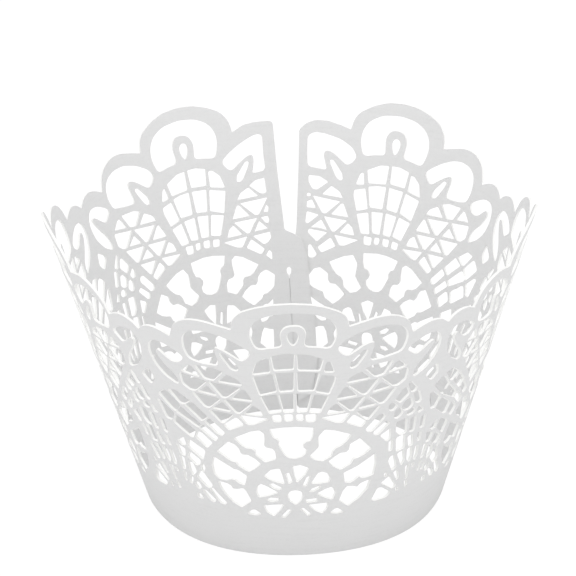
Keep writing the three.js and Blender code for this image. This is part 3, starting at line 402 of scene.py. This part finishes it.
def bend(places, across):
    """Bends places of the flat fan onto the cone, at a distance across the card from its middle.
    The distance from the apex gives the height, the angle over the sine of the lean gives the
    length along the ring, and the ring's radius is a circle's with a few waves added. Near the
    seam the ends step apart, one out and one in, in a smooth ramp. The flare grows with the
    square of the height above its start, and the back spread fades from the foot upwards."""
    slant = np.hypot(places[:, 0], places[:, 1])
    height = (slant - APEX_REACH) * math.cos(LEAN)
    closed = 1 - CLOSING * (height - CLOSING_HEIGHT)
    length = np.arctan2(places[:, 0], places[:, 1]) / math.sin(LEAN) * closed

    def ring(azimuth):
        """The ring's size as one plus its cosine and sine waves, and the slope of that sum."""
        waves = sum(c * np.cos(n * azimuth) + s * np.sin(n * azimuth) for n, c, s in RING_TERMS)
        slopes = sum(
            n * (s * np.cos(n * azimuth) - c * np.sin(n * azimuth)) for n, c, s in RING_TERMS)
        return 1 + waves, slopes

    steps = np.radians(np.linspace(-220, 220, 1761))
    size, slope = ring(steps)
    run = np.hypot(size, slope)
    sums = np.concatenate([[0], np.cumsum((run[1:] + run[:-1]) / 2 * np.diff(steps))])
    azimuth = np.interp(length, sums - np.interp(0, steps, sums), steps)

    front = np.clip(np.cos(azimuth), 0, 1) ** 2
    flare = FLARE * front * np.maximum(height - FLARE_START, 0) ** 2
    radius = FOOT_RADIUS + height * math.tan(LEAN) + flare
    size, slope = ring(azimuth)
    to_seam = (HALF_TURN - np.abs(length)) * radius
    ramp = np.clip((SEAM_RAMP - to_seam) / (SEAM_RAMP - SEAM_FLAT), 0, 1)
    out = SEAM_STEP * np.sign(length) * ramp**2 * (3 - 2 * ramp) + across / math.cos(LEAN)
    turn = np.hypot(size, slope)
    east = (size * np.sin(azimuth) - slope * np.cos(azimuth)) / turn
    north = -(size * np.cos(azimuth) + slope * np.sin(azimuth)) / turn
    x = radius * size * np.sin(azimuth) + out * east + AXIS[0]
    y = -radius * size * np.cos(azimuth) + out * north + AXIS[1]
    y += BACK_SPREAD * np.clip(-np.cos(azimuth), 0, 1) * (1 - height / BACK_SPREAD_END)
    return np.column_stack([x, y, np.maximum(height - FLARE_DROP * flare, 0)]) / 1000


# A lattice of points between the cuts keeps the triangles short, so that the bend is smooth.
# Points that lie near a cut are left out.
LATTICE_PITCH = 1.1
LATTICE_TOP = 54.0
LATTICE_MIDDLE = 20.0
LATTICE_MARGIN = 0.08
NEAR_CUT = 0.45
turn_pitch = LATTICE_PITCH / (APEX_REACH + LATTICE_MIDDLE)
turns = np.arange(foot_start - LATTICE_MARGIN, foot_end + LATTICE_MARGIN, turn_pitch)
reaches = APEX_REACH + np.arange(LATTICE_PITCH, LATTICE_TOP, LATTICE_PITCH)
turn_grid, reach_grid = np.meshgrid(turns, reaches)
inner_points = np.column_stack([
    (reach_grid * np.sin(turn_grid)).ravel(),
    (reach_grid * np.cos(turn_grid)).ravel(),
])
cut_points = np.concatenate([outline] + openings)


def cell_keys(points, shift=(0, 0)):
    """A whole number for the small square that each point lies in, moved by some squares."""
    column, row = (np.floor(points / NEAR_CUT).astype(np.int64) + np.asarray(shift)).T
    return row * 100000 + column


taken = cell_keys(cut_points)
free = np.ones(len(inner_points), bool)
for shift in [(a, b) for a in (-1, 0, 1) for b in (-1, 0, 1)]:
    free &= ~np.isin(cell_keys(inner_points, shift), taken)
inner_points = inner_points[free]


POINTS_AT_ONCE = 4000


def inside(points, line):
    """Whether each point lies in a closed line: a ray to its right crosses the line an odd number
    of times. Points outside the line's box are left out at once."""
    low, high = line.min(axis=0), line.max(axis=0)
    found = np.zeros(len(points), bool)
    near = np.flatnonzero(((points > low) & (points < high)).all(axis=1))
    after = np.roll(line, -1, axis=0)
    for part in np.array_split(near, len(near) // POINTS_AT_ONCE + 1):
        x, y = points[part].T[:, :, None]
        spans = (line[:, 1] > y) != (after[:, 1] > y)
        rise = after[:, 1] - line[:, 1]
        rise = np.where(rise == 0, 1, rise)
        meets = line[:, 0] + (after[:, 0] - line[:, 0]) * (y - line[:, 1]) / rise
        found[part] = (spans & (meets > x)).sum(axis=1) % 2 == 1
    return found


def on_card(points):
    """Whether each point lies on the sheet and in none of its openings."""
    kept = inside(points, outline)
    for opening in openings:
        kept &= ~inside(points, opening)
    return kept


inner_points = inner_points[on_card(inner_points)]
loops = []
first = 0
for line in [outline] + openings:
    loops.append(list(range(first, first + len(line))))
    first += len(line)
flat_points = np.concatenate([cut_points, inner_points])
flat, _, triangles, *_ = delaunay_2d_cdt(
    [tuple(p) for p in flat_points.tolist()], [], loops, 0, 1e-7, False)
flat = np.array([tuple(p) for p in flat])
triangles = np.array([tuple(t) for t in triangles])
triangles = triangles[on_card(flat[triangles].mean(axis=1))]
corner = flat[triangles]
sides = corner[:, 1:] - corner[:, :1]
wrong = sides[:, 0, 0] * sides[:, 1, 1] - sides[:, 0, 1] * sides[:, 1, 0] < 0
triangles[wrong] = triangles[wrong][:, ::-1]

# Sides that only one triangle has are cuts. On the outside their ends are drawn back into the
# card by the taper of the kerf, but not at the foot, which stands flat.
count = len(flat)
runs = np.concatenate([triangles[:, [0, 1]], triangles[:, [1, 2]], triangles[:, [2, 0]]])
keys = runs[:, 0] * count + runs[:, 1]
cuts = runs[~np.isin(keys, runs[:, 1] * count + runs[:, 0])]
along = flat[cuts[:, 1]] - flat[cuts[:, 0]]
along /= np.linalg.norm(along, axis=1)[:, None]
outward = np.column_stack([along[:, 1], -along[:, 0]])
pull = np.zeros((count, 2))
np.add.at(pull, cuts[:, 0], outward)
np.add.at(pull, cuts[:, 1], outward)
pull /= np.maximum(np.linalg.norm(pull, axis=1), 1e-9)[:, None]
on_foot = np.hypot(flat[:, 0], flat[:, 1]) < APEX_REACH + 0.01
pull[on_foot] = 0

SHARP_ANGLE = math.radians(40)
outer = bend(flat - KERF_TAPER * pull, CARD_THICKNESS / 2)
inner = bend(flat, -CARD_THICKNESS / 2)
faces = np.concatenate([triangles, triangles[:, ::-1] + count])
walls = np.column_stack([cuts[:, 1], cuts[:, 0], cuts[:, 0] + count, cuts[:, 1] + count])
card_mesh = bpy.data.meshes.new("lace_wrapper")
card_mesh.from_pydata(
    np.concatenate([outer, inner]).tolist(), [], faces.tolist() + walls.tolist())
card_mesh.polygons.foreach_set("use_smooth", np.ones(len(card_mesh.polygons), bool))
slots = np.zeros(len(card_mesh.polygons), np.int32)
slots[len(faces):] = 1
card_mesh.polygons.foreach_set("material_index", slots)
card_mesh.set_sharp_from_angle(angle=SHARP_ANGLE)
card_mesh.update()
wrapper = bpy.data.objects.new("lace_wrapper", card_mesh)
bpy.context.scene.collection.objects.link(wrapper)


def srgb(code):
    """A hex colour such as dcdcd8 as linear red, green and blue."""
    parts = [int(code[i:i + 2], 16) / 255 for i in (0, 2, 4)]
    return [p / 12.92 if p <= 0.04045 else ((p + 0.055) / 1.055) ** 2.4 for p in parts] + [1.0]


def add_node(tree, kind, settings=(), links=()):
    """Adds a node to a tree, sets its fields and its input sockets, and links its inputs."""
    node = tree.nodes.new(kind)
    for key, value in dict(settings).items():
        if isinstance(key, str) and hasattr(node, key):
            setattr(node, key, value)
        else:
            node.inputs[key].default_value = value
    for socket, source in dict(links).items():
        tree.links.new(source, node.inputs[socket])
    return node


# Pearl card: smooth white card, calendered and coated with fine mica. The eye sees an even, soft
# grey-white face with a satin shine. Its fine grain and the laid lines along the sheet are
# hardly seen. Both are drawn coarser than the real ones, so that they show at all.
GRAINS_PER_MM = 2.6
LAID_LINES_PER_MM = 2.2
LAID_BREAKS_PER_MM = 0.16
pearl = bpy.data.materials.new("pearl_card")
pearl.use_nodes = True
tree = pearl.node_tree
shader = tree.nodes["Principled BSDF"]
place = add_node(tree, "ShaderNodeTexCoord").outputs["Object"]
grain = add_node(
    tree, "ShaderNodeTexNoise", {"Scale": 1000 * GRAINS_PER_MM, "Detail": 3.0}, {"Vector": place})
laid_scale = (1000 * LAID_BREAKS_PER_MM, 1000 * LAID_BREAKS_PER_MM, 1000 * LAID_LINES_PER_MM)
stretch = add_node(tree, "ShaderNodeMapping", {"Scale": laid_scale}, {"Vector": place})
laid = add_node(
    tree, "ShaderNodeTexNoise", {"Scale": 1.0, "Detail": 2.0}, {"Vector": stretch.outputs[0]})
relief = add_node(
    tree, "ShaderNodeMath", {"operation": "ADD"}, {0: grain.outputs["Fac"], 1: laid.outputs["Fac"]})
tone = add_node(tree, "ShaderNodeValToRGB", links={0: relief.outputs[0]})
tone.color_ramp.elements[0].position = 0.7
tone.color_ramp.elements[0].color = srgb("dedede")
tone.color_ramp.elements[1].position = 1.3
tone.color_ramp.elements[1].color = srgb("e1e1e1")
tree.links.new(tone.outputs["Color"], shader.inputs["Base Color"])
bump = add_node(
    tree, "ShaderNodeBump", {"Strength": 0.045, "Distance": 0.00004},
    {"Height": relief.outputs[0]})
tree.links.new(bump.outputs["Normal"], shader.inputs["Normal"])
shader.inputs["Roughness"].default_value = 0.5
shader.inputs["Specular IOR Level"].default_value = 0.4

# The cut edge: bare white pulp where the laser went through. The eye sees it brighter than the
# coated faces and quite matt, with the fibres as a faint change of tone.
FIBRES_PER_MM = 3.0
edge = bpy.data.materials.new("cut_edge")
edge.use_nodes = True
tree = edge.node_tree
shader = tree.nodes["Principled BSDF"]
place = add_node(tree, "ShaderNodeTexCoord").outputs["Object"]
fibre = add_node(
    tree, "ShaderNodeTexNoise", {"Scale": 1000 * FIBRES_PER_MM, "Detail": 2.0}, {"Vector": place})
tone = add_node(tree, "ShaderNodeValToRGB", links={0: fibre.outputs["Fac"]})
tone.color_ramp.elements[0].color = srgb("f4f4f2")
tone.color_ramp.elements[1].color = srgb("fcfcfb")
tree.links.new(tone.outputs["Color"], shader.inputs["Base Color"])
shader.inputs["Roughness"].default_value = 0.8
card_mesh.materials.append(pearl)
card_mesh.materials.append(edge)

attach(wrapper, "root")
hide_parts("wrapper")

# STUDIO
# A pale floor, a white surround and broad soft lamps.

FLOOR_REACH = 3.0
floor_mesh = bpy.data.meshes.new("floor")
floor_mesh.from_pydata([
    (-FLOOR_REACH, -FLOOR_REACH, 0), (FLOOR_REACH, -FLOOR_REACH, 0),
    (FLOOR_REACH, FLOOR_REACH, 0), (-FLOOR_REACH, FLOOR_REACH, 0),
], [], [(0, 1, 2, 3)])
floor = bpy.data.objects.new("floor", floor_mesh)
bpy.context.scene.collection.objects.link(floor)

# Matt white studio paper. The camera sees it four fifths as a white glow and one fifth as paper.
# Together they pass white, so the floor is as white as the surround and shows no shadow.
FLOOR_GLOW_SHARE = 0.8
FLOOR_GLOW = 1.1
paper = bpy.data.materials.new("floor_paper")
paper.use_nodes = True
floor_mesh.materials.append(paper)
tree = paper.node_tree
shader = tree.nodes["Principled BSDF"]
shader.inputs["Base Color"].default_value = srgb("eeeeee")
shader.inputs["Roughness"].default_value = 0.9
glow = add_node(tree, "ShaderNodeEmission", {"Color": (1, 1, 1, 1), "Strength": FLOOR_GLOW})
rays = add_node(tree, "ShaderNodeLightPath")
share = add_node(
    tree, "ShaderNodeMath", {"operation": "MULTIPLY", 1: FLOOR_GLOW_SHARE},
    {0: rays.outputs["Is Camera Ray"]})
blend = add_node(
    tree, "ShaderNodeMixShader",
    links={0: share.outputs[0], 1: shader.outputs[0], 2: glow.outputs[0]})
tree.links.new(blend.outputs[0], tree.nodes["Material Output"].inputs["Surface"])

# The surround is white to the camera and in reflections, and lights the card a little less.
SURROUND_LIGHT = 0.75
world = bpy.data.worlds.new("surround")
bpy.context.scene.world = world
world.use_nodes = True
tree = world.node_tree
surround = tree.nodes["Background"]
rays = add_node(tree, "ShaderNodeLightPath")
seen = add_node(
    tree, "ShaderNodeMath", {"operation": "MAXIMUM"},
    {0: rays.outputs["Is Camera Ray"], 1: rays.outputs["Is Glossy Ray"]})
level = add_node(
    tree, "ShaderNodeMapRange", {"To Min": SURROUND_LIGHT, "To Max": 1.0},
    {"Value": seen.outputs[0]})
tree.links.new(level.outputs[0], surround.inputs["Strength"])
surround.inputs["Color"].default_value = (1, 1, 1, 1)


def softbox(name, place, size, power, aim=(0, 0, 0.025)):
    """A square area lamp at a place, turned so that it faces the aim."""
    lamp = bpy.data.lights.new(name, "AREA")
    lamp.size = size
    lamp.energy = power
    box = bpy.data.objects.new(name, lamp)
    away = np.array(place, float) - np.array(aim, float)
    axis_z = away / np.linalg.norm(away)
    axis_x = np.cross((0, 1, 0) if abs(axis_z[2]) > 0.95 else (0, 0, 1), axis_z)
    axis_x /= np.linalg.norm(axis_x)
    turn = np.column_stack([axis_x, np.cross(axis_z, axis_x), axis_z])
    box.matrix_world = Matrix.Translation(place) @ Matrix(turn.tolist()).to_4x4()
    bpy.context.scene.collection.objects.link(box)


softbox("key", (-0.85, -0.75, 0.65), 1.2, 3.9)
softbox("fill", (1.0, -0.6, 0.5), 1.0, 3.1)
softbox("top", (0.0, 0.1, 1.2), 1.0, 2.6)

# CAMERA
# Fitted to the photograph: a long lens from a little above, rolled by about a degree.

CAMERA_DISTANCE = 0.574994
CAMERA_ELEVATION = math.radians(24.375)
CAMERA_ROLL = math.radians(-1.182)
CAMERA_AIM = np.array([-0.000579, 0.00059, 0.034387])
PICTURE_PIXELS = 576
FOCAL_PIXELS = 3600.63
forward = np.array([0, math.cos(CAMERA_ELEVATION), -math.sin(CAMERA_ELEVATION)])
level_x = np.array([1.0, 0, 0])
level_y = np.array([0, math.sin(CAMERA_ELEVATION), math.cos(CAMERA_ELEVATION)])
camera_x = math.cos(CAMERA_ROLL) * level_x + math.sin(CAMERA_ROLL) * level_y
camera_y = math.cos(CAMERA_ROLL) * level_y - math.sin(CAMERA_ROLL) * level_x
eye = CAMERA_AIM - CAMERA_DISTANCE * forward
lens = bpy.data.cameras.new("camera")
lens.sensor_width = 36.0
lens.lens = FOCAL_PIXELS * lens.sensor_width / PICTURE_PIXELS
lens.clip_start = 0.05
lens.clip_end = 10.0
camera = bpy.data.objects.new("camera", lens)
turn = np.column_stack([camera_x, camera_y, -forward])
camera.matrix_world = Matrix.Translation(eye.tolist()) @ Matrix(turn.tolist()).to_4x4()
bpy.context.scene.collection.objects.link(camera)
bpy.context.scene.camera = camera
bpy.context.scene.view_settings.view_transform = "Standard"
